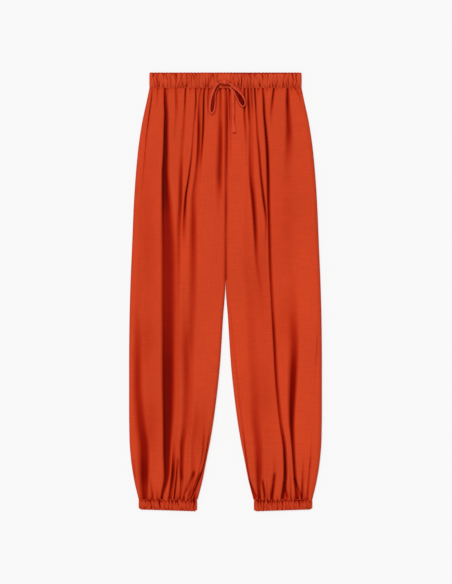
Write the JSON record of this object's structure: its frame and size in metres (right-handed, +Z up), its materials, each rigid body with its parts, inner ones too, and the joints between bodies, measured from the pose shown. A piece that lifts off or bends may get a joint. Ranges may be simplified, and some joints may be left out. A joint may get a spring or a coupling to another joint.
{
  "type": "elastic-waist trousers",
  "caption": "Long loose trousers laid flat, with a gathered elastic waistband, a drawstring bow and gathered elastic cuffs.",
  "frame": {"origin": "middle of the outline, on the surface that the trousers lie on", "axes": "+X to the wearer's left, +Y towards the waist, +Z up from the surface"},
  "size_m": [0.444, 1.0099, 0.0193],
  "materials": {
    "cloth": "satin",
    "casing": "satin",
    "tie": "satin"
  },
  "bodies": {
    "root": {"front_left": "cloth", "front_right": "cloth", "back_left": "cloth", "back_right": "cloth", "waistband": "casing", "cuff_left": "casing", "cuff_right": "casing", "drawstring_knot": "tie", "drawstring_loop_left": "tie", "drawstring_loop_right": "tie", "drawstring_end": "tie"}
  },
  "joints": []
}
